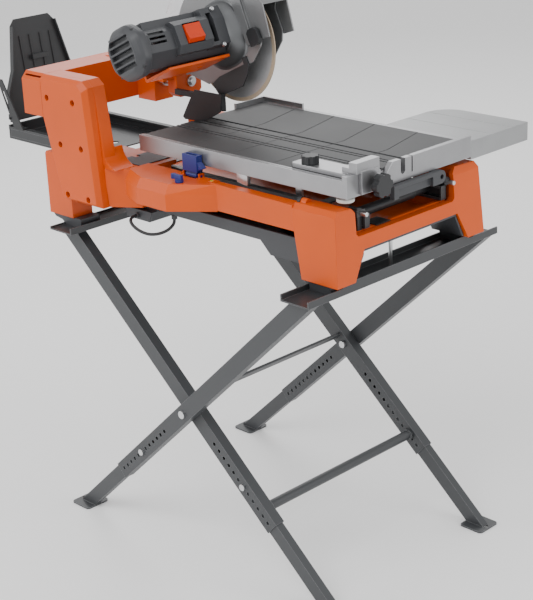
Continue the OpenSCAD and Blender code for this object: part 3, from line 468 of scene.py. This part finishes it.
def slab(name, outline, low, high, finish, body, rim=0.0015, steps=5, axis="y"):
    """Outline (n, 2) given thickness from low to high along an axis, its two edges rounded: the outline
    moves in by rim as a quarter circle."""
    outline = np.asarray(outline, float)
    ahead, behind = np.roll(outline, -1, 0), np.roll(outline, 1, 0)
    along = ahead - behind
    along /= np.linalg.norm(along, axis=1, keepdims=True)
    area = np.sum(outline[:, 0] * ahead[:, 1] - ahead[:, 0] * outline[:, 1])
    inward = np.stack([-along[:, 1], along[:, 0]], 1) * math.copysign(1, area)
    turn = np.linspace(0, math.pi / 2, steps)
    inset = np.concatenate([rim * (1 - np.sin(turn)), rim * (1 - np.cos(turn))])
    depth = np.concatenate([low + rim * (1 - np.cos(turn)), high - rim * (1 - np.sin(turn))])
    flat = outline[None] + inset[:, None, None] * inward[None]
    level = np.repeat(depth[:, None], len(outline), axis=1)
    if axis == "y":
        points = np.stack([flat[..., 0], level, flat[..., 1]], -1)
    elif axis == "z":
        points = np.stack([flat[..., 0], flat[..., 1], level], -1)
    else:
        points = np.stack([level, flat[..., 0], flat[..., 1]], -1)
    return surface(name, points, finish, body)


def corners(points, radius, steps=6):
    """Closed outline through corner points, each corner turned on a quadratic curve of about that radius."""
    points = np.asarray(points, float)
    radius = np.broadcast_to(np.asarray(radius, float), (len(points),))[:, None]
    back = np.roll(points, 1, 0) - points
    on = np.roll(points, -1, 0) - points
    back_len = np.linalg.norm(back, axis=1, keepdims=True)
    on_len = np.linalg.norm(on, axis=1, keepdims=True)
    start = points + back / back_len * np.minimum(radius, back_len * 0.49)
    end = points + on / on_len * np.minimum(radius, on_len * 0.49)
    t = np.linspace(0, 1, steps)[None, :, None]
    curve = (1 - t) ** 2 * start[:, None] + 2 * t * (1 - t) * points[:, None] + t ** 2 * end[:, None]
    return curve.reshape(-1, 2)


# Every finish by its name, filled by the Finishes operator
FINISHES = {}


# ---------- settings ----------

class TileCutterColours(bpy.types.PropertyGroup):
    """Colours that a user would change"""
    orange: bpy.props.FloatVectorProperty(name="Orange", description="Colour of the base, tower and arm",
                                          size=3, subtype="COLOR", default=(0.66, 0.082, 0.0), min=0, max=1)
    stand: bpy.props.FloatVectorProperty(name="Stand", description="Colour of the folding stand",
                                         size=3, subtype="COLOR", default=(0.048, 0.051, 0.055), min=0, max=1)
    blue: bpy.props.FloatVectorProperty(name="Levers", description="Colour of the tap and the table lock",
                                        size=3, subtype="COLOR", default=(0.006, 0.014, 0.17), min=0, max=1)
    floor: bpy.props.FloatVectorProperty(name="Floor", description="Colour of the floor",
                                         size=3, subtype="COLOR", default=(0.97, 0.97, 0.97), min=0, max=1)


class TileCutterStage(bpy.types.PropertyGroup):
    """Floor, camera and lights"""
    floor_size: bpy.props.FloatProperty(name="Floor", description="Width of the floor",
                                        default=30.0, min=5, max=100, unit="LENGTH")
    lens: bpy.props.FloatProperty(name="Lens", description="Focal length of the camera", default=91.7,
                                  min=20, max=200, unit="CAMERA")
    key_power: bpy.props.FloatProperty(name="Key light", description="Power of the main soft light",
                                       default=120.0, min=0, max=2000, unit="POWER")


# ---------- operators ----------

def soft_box(name, at, towards, size, power):
    """Soft white light that faces a point."""
    data = bpy.data.lights.new(name, "AREA")
    data.shape = "RECTANGLE"
    data.size, data.size_y = size
    data.energy = power
    lamp = bpy.data.objects.new(name, data)
    bpy.context.scene.collection.objects.link(lamp)
    lamp.location = at
    lamp.rotation_euler = (Vector(towards) - Vector(at)).to_track_quat("-Z", "Y").to_euler()
    return lamp


class TILECUTTER_OT_stage(bpy.types.Operator):
    """Camera, pale floor and soft lights"""
    bl_idname = "tile_cutter.stage"
    bl_label = "Stage"

    def execute(self, context):
        stage = context.scene.tile_cutter_stage
        azimuth, elevation, roll = (math.radians(a) for a in CAMERA_TURN)
        back = Vector((math.sin(azimuth) * math.cos(elevation), -math.cos(azimuth) * math.cos(elevation),
                       math.sin(elevation)))
        level = Vector((0, 0, 1)).cross(back).normalized()
        rise = back.cross(level)
        right = level * math.cos(roll) + rise * math.sin(roll)
        up = rise * math.cos(roll) - level * math.sin(roll)
        data = bpy.data.cameras.new("camera")
        data.lens = stage.lens
        data.sensor_width = 36.0
        data.clip_end = 60
        data.shift_x, data.shift_y = CAMERA_SHIFT
        camera = bpy.data.objects.new("camera", data)
        turn = Matrix((right, up, back)).transposed().to_4x4()
        camera.matrix_world = Matrix.Translation(CAMERA_PLACE) @ turn
        context.scene.collection.objects.link(camera)
        context.scene.camera = camera

        half = stage.floor_size / 2
        mesh = bpy.data.meshes.new("floor")
        mesh.from_pydata([(-half, -half, 0), (half, -half, 0), (half, half, 0), (-half, half, 0)], [],
                         [(0, 1, 2, 3)])
        floor = bpy.data.objects.new("floor", mesh)
        floor.data.materials.append(floor_finish("floor", tuple(context.scene.tile_cutter_colours.floor)))
        context.scene.collection.objects.link(floor)

        key = stage.key_power
        soft_box("key_light", (0.4, -3.4, 4.4), (0, 0, 0.7), (3.0, 3.0), key)
        soft_box("fill_light", (4.0, 1.2, 2.4), (0, 0, 0.7), (2.5, 2.5), key * 0.42)
        soft_box("back_light", (-3.0, 2.5, 3.2), (0, 0, 0.9), (2.5, 2.5), key * 0.45)
        soft_box("side_light", (-3.2, -3.0, 1.8), (0, 0, 0.8), (2.0, 2.0), key * 0.25)
        world = bpy.data.worlds.new("studio")
        world.use_nodes = True
        world.node_tree.nodes["Background"].inputs[0].default_value = (1, 1, 1, 1)
        world.node_tree.nodes["Background"].inputs[1].default_value = 0.95
        context.scene.world = world
        return {"FINISHED"}


class TILECUTTER_OT_finishes(bpy.types.Operator):
    """Gives every part of the frame its own finish"""
    bl_idname = "tile_cutter.finishes"
    bl_label = "Finishes"

    def execute(self, context):
        FINISHES.update(make_finishes(context.scene.tile_cutter_colours))
        left = set(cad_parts)
        for finish, nodes in SLOTS.items():
            for node in nodes.split():
                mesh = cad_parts[node].data
                mesh.materials.clear()
                mesh.materials.append(FINISHES[finish])
                left.discard(node)
        if left:
            raise RuntimeError(f"no finish for {sorted(left)}")
        return {"FINISHED"}


class TILECUTTER_OT_motor(bpy.types.Operator):
    """End cap with five louvres and its four screws, and the flared gear case"""
    bl_idname = "tile_cutter.motor"
    bl_label = "Motor"

    def execute(self, context):
        columns = 240
        angle = np.linspace(0, 2 * math.pi, columns, endpoint=False)[None, :]
        # End cap: octagon rings that swell past the body and shrink to a flat face, louvres sunk in the face
        rings = np.array([  # y, half width, half width along the diagonals
            (-0.2800, 0.0500, 0.0530), (-0.2806, 0.0535, 0.0560), (-0.2820, 0.0550, 0.0575),
            (-0.2920, 0.0556, 0.0578), (-0.2990, 0.0546, 0.0566), (-0.3050, 0.0500, 0.0520),
            (-0.3105, 0.0436, 0.0460), (-0.3122, 0.0412, 0.0436), (-0.3126, 0.0396, 0.0420)])
        t = np.linspace(0, len(rings) - 1, 72)
        y, half, diagonal = (np.interp(t, np.arange(len(rings)), rings[:, k])[:, None] for k in range(3))
        face_y, face_half, face_diagonal = rings[-1]
        shrink = np.linspace(1, 0.02, 70)[:, None]
        half = np.concatenate([half, face_half * shrink])
        diagonal = np.concatenate([diagonal, face_diagonal * shrink])
        y = np.concatenate([y, face_y + 0 * shrink])
        u, n = octagon(angle, half, diagonal)
        sunk = np.zeros_like(u)
        for k in range(-2, 3):
            sides = smooth((0.0050 - np.abs(n - k * LOUVRE_STEP)) / 0.0012)
            ends = smooth((0.0365 - 0.001 * k * k - np.abs(u)) / 0.002)
            sunk = np.maximum(sunk, sides * ends)
        reach = smooth((-y - 0.2960) / 0.004)
        y = y + LOUVRE_DEPTH * sunk * reach
        points = np.stack([u + MOTOR_U, y, n + MOTOR_N], -1)
        cap = surface("motor_cap_shell", on_head(points), "grey moulding", "head", smooth_angle=50)
        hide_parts("motor_end_cap")
        for k, (su, sn) in enumerate(((1, 1), (-1, 1), (1, -1), (-1, -1))):
            at = on_head(np.array([MOTOR_U + su * CAP_SCREW, -0.3020, MOTOR_N + sn * CAP_SCREW]))
            turned(f"cap_screw_{k}", [(0.0008, 0.0), (0.0030, 0.0), (0.0036, -0.0006), (0.0036, -0.006)], at,
                   (0, -1, 0), "black moulding", "head", sides=24)

        # Gear case: from the motor's flange to a wide arch on the guard
        rows = np.linspace(0, 1, 40)[:, None]
        bulge = smooth(rows) * 0.6 + rows * 0.4
        half_u = 0.0495 + 0.0195 * bulge
        half_n = 0.0470 + 0.0230 * bulge
        centre_u = MOTOR_U - 0.004 * bulge
        centre_n = MOTOR_N - 0.004 * bulge
        flare = 0.004 * np.clip(rows * 8 - 7, 0, 1) ** 2
        u, n = squircle(angle, half_u + flare, half_n + flare, 3.0 - 0.5 * rows)
        y = -0.0622 + 0.0324 * rows
        points = np.stack([u + centre_u, y + 0 * u, n + centre_n], -1)
        case = surface("gear_case_shell", on_head(points), "gear case alloy", "head", smooth_angle=60)
        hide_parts("gear_case")
        return {"FINISHED"}


HOSE = np.array([  # route of the water hose, metres
    (-0.189, -0.216, 0.752), (-0.188, -0.232, 0.7508), (-0.183, -0.241, 0.7472), (-0.174, -0.245, 0.7412),
    (-0.162, -0.245, 0.7346), (-0.147, -0.242, 0.7286), (-0.131, -0.236, 0.725), (-0.116, -0.227, 0.7256),
    (-0.104, -0.215, 0.7298), (-0.096, -0.204, 0.737), (-0.093, -0.1946, 0.747), (-0.093, -0.192, 0.760)])


def spline_through(points, per=8):
    """Catmull-Rom curve: each span is the cubic whose end slopes are half the chords of its neighbours."""
    padded = np.vstack([points[:1], points, points[-1:]])
    a, b, c, d = (padded[k:len(padded) - 3 + k] for k in range(4))
    t = np.linspace(0, 1, per, endpoint=False)[None, :, None]
    a, b, c, d = (q[:, None] for q in (a, b, c, d))
    curve = 0.5 * (2 * b + (c - a) * t + (2 * a - 5 * b + 4 * c - d) * t ** 2
                   + (3 * b - a - 3 * c + d) * t ** 3)
    return np.vstack([curve.reshape(-1, 3), points[-1:]])


def tube(name, path, radius, finish, body, sides=20):
    """Circle of a radius carried along a path, in the frame of its tangent and a fixed side."""
    tangent = np.gradient(path, axis=0)
    tangent /= np.linalg.norm(tangent, axis=1, keepdims=True)
    side = np.cross(tangent, np.array([0.35, 0.1, 1.0]))
    side /= np.linalg.norm(side, axis=1, keepdims=True)
    third = np.cross(tangent, side)
    angle = np.linspace(0, 2 * math.pi, sides, endpoint=False)[None, :, None]
    points = path[:, None] + radius * (np.cos(angle) * side[:, None] + np.sin(angle) * third[:, None])
    return surface(name, points, finish, body, smooth_angle=60)


class TILECUTTER_OT_hose(bpy.types.Operator):
    """Water hose that hangs in a loop between the pump box and the pan"""
    bl_idname = "tile_cutter.hose"
    bl_label = "Hose"

    def execute(self, context):
        path = spline_through(HOSE)
        hose = tube("water_hose", path, 0.0035, "soft rubber", "base")
        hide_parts("pump_hose")
        return {"FINISHED"}


class TILECUTTER_OT_fittings(bpy.types.Operator):
    """Small fittings: level vial, rail pins, corner roller, catch, clip, strap and screws"""
    bl_idname = "tile_cutter.fittings"
    bl_label = "Fittings"

    def execute(self, context):
        dome = [(0.0001, 0.0), (0.0030, -0.0002), (0.0044, -0.0010), (0.0050, -0.0024), (0.0050, -0.018)]
        for side, y in (("near", -0.138), ("far", 0.132)):
            turned(f"rail_pin_{side}", dome, (0.4185, y, 0.8512), (1, 0, 0), "zinc", "base", sides=32)
            outline = corners([(y - 0.011, 0.8460), (y + 0.005, 0.8460), (y + 0.005, 0.8600),
                               (y - 0.005, 0.8640), (y - 0.011, 0.8640)], 0.003)
            slab(f"rail_stop_{side}", outline, 0.378, 0.4016, "black moulding", "base", axis="x")
        # Roller under the near front corner of the table
        turned("corner_roller", [(0.004, 0.0), (0.0165, 0.0), (0.0180, 0.0015), (0.0180, 0.0060),
                                 (0.0165, 0.0075), (0.0070, 0.0078), (0.0060, 0.0100), (0.0060, 0.0130)],
               (0.389, -0.168, 0.8800), (0, 0, 1), "white wheel", "table", sides=56)
        turned("corner_roller_screw", [(0.0002, -0.0010), (0.0040, -0.0010), (0.0045, 0.0), (0.0030, 0.0004)],
               (0.389, -0.168, 0.8796), (0, 0, 1), "zinc", "table", sides=24)
        # Catch that the table lock holds
        slab("table_catch", corners([(0.106, 0.8740), (0.130, 0.8700), (0.137, 0.8700), (0.137, 0.8930),
                                     (0.106, 0.8930)], 0.002), -0.1885, -0.1780, "zinc", "table")
        # Level vial in its recess
        vial = (0.050, -0.207, 0.8698)
        turned("vial_bezel", [(0.0073, -0.0031), (0.0073, 0.0008), (0.0066, 0.0016), (0.0054, 0.0014),
                              (0.0051, -0.0010)], vial, (0, 0, 1), "orange moulding", "base", sides=40)
        turned("level_vial", [(0.0001, 0.0016), (0.0030, 0.0014), (0.0046, 0.0006), (0.0050, -0.0004),
                              (0.0050, -0.0030)], vial, (0, 0, 1), "vial", "base", sides=32)
        # Clip round the boss on the near side panel
        turned("boss_clip", [(0.0092, 0.0), (0.0108, 0.0), (0.0112, 0.0010), (0.0112, 0.0060),
                             (0.0108, 0.0070), (0.0092, 0.0070)],
               (0.2952, -0.196, 0.870), (1, 0, 0), "black moulding", "base", sides=48)
        # Strap over the front edge of the basin
        slab("basin_strap", corners([(-0.088, 0.8115), (-0.045, 0.8115), (-0.045, 0.8135),
                                     (-0.088, 0.8135)], 0.0006),
             0.360, 0.3975, "black moulding", "base", rim=0.0003, axis="x")
        # Screws of the motor flange
        for k, (u, n) in enumerate(((0.044, 0.044), (0.044, -0.034))):
            at = on_head(np.array([MOTOR_U + u + 0.0085, -0.086, MOTOR_N + n]))
            out = on_head(np.array([1.0, 0, 0])) - on_head(np.zeros(3))
            turned(f"flange_screw_{k}", [(0.0001, 0.0016), (0.0016, 0.0006), (0.0036, 0.0022),
                                         (0.0044, 0.0014), (0.0046, -0.004)],
                   at, out, "zinc", "head", sides=28)
        return {"FINISHED"}


class TILECUTTER_PT_panel(bpy.types.Panel):
    """Shows the colour and stage settings and a button for each operator"""
    bl_label = "Tile Cutter"
    bl_idname = "TILECUTTER_PT_panel"
    bl_space_type = "VIEW_3D"
    bl_region_type = "UI"
    bl_category = "Tile Cutter"

    def draw(self, context):
        layout = self.layout
        for group in (context.scene.tile_cutter_colours, context.scene.tile_cutter_stage):
            box = layout.box()
            for key in group.__annotations__:
                box.prop(group, key)
        for operator in OPERATORS:
            layout.operator(operator.bl_idname)


OPERATORS = (TILECUTTER_OT_stage, TILECUTTER_OT_finishes, TILECUTTER_OT_hose, TILECUTTER_OT_motor,
             TILECUTTER_OT_fittings)
GROUPS = (TileCutterColours, TileCutterStage)
CLASSES = GROUPS + OPERATORS + (TILECUTTER_PT_panel,)


def register():
    """Registers the classes and the settings"""
    for cls in CLASSES:
        bpy.utils.register_class(cls)
    bpy.types.Scene.tile_cutter_colours = bpy.props.PointerProperty(type=TileCutterColours)
    bpy.types.Scene.tile_cutter_stage = bpy.props.PointerProperty(type=TileCutterStage)


def unregister():
    """Removes the settings and the classes"""
    del bpy.types.Scene.tile_cutter_stage
    del bpy.types.Scene.tile_cutter_colours
    for cls in reversed(CLASSES):
        bpy.utils.unregister_class(cls)


def main():
    """Makes every piece"""
    register()
    for operator in OPERATORS:
        group, name = operator.bl_idname.split(".")
        getattr(getattr(bpy.ops, group), name)()


if __name__ == "__main__":
    main()
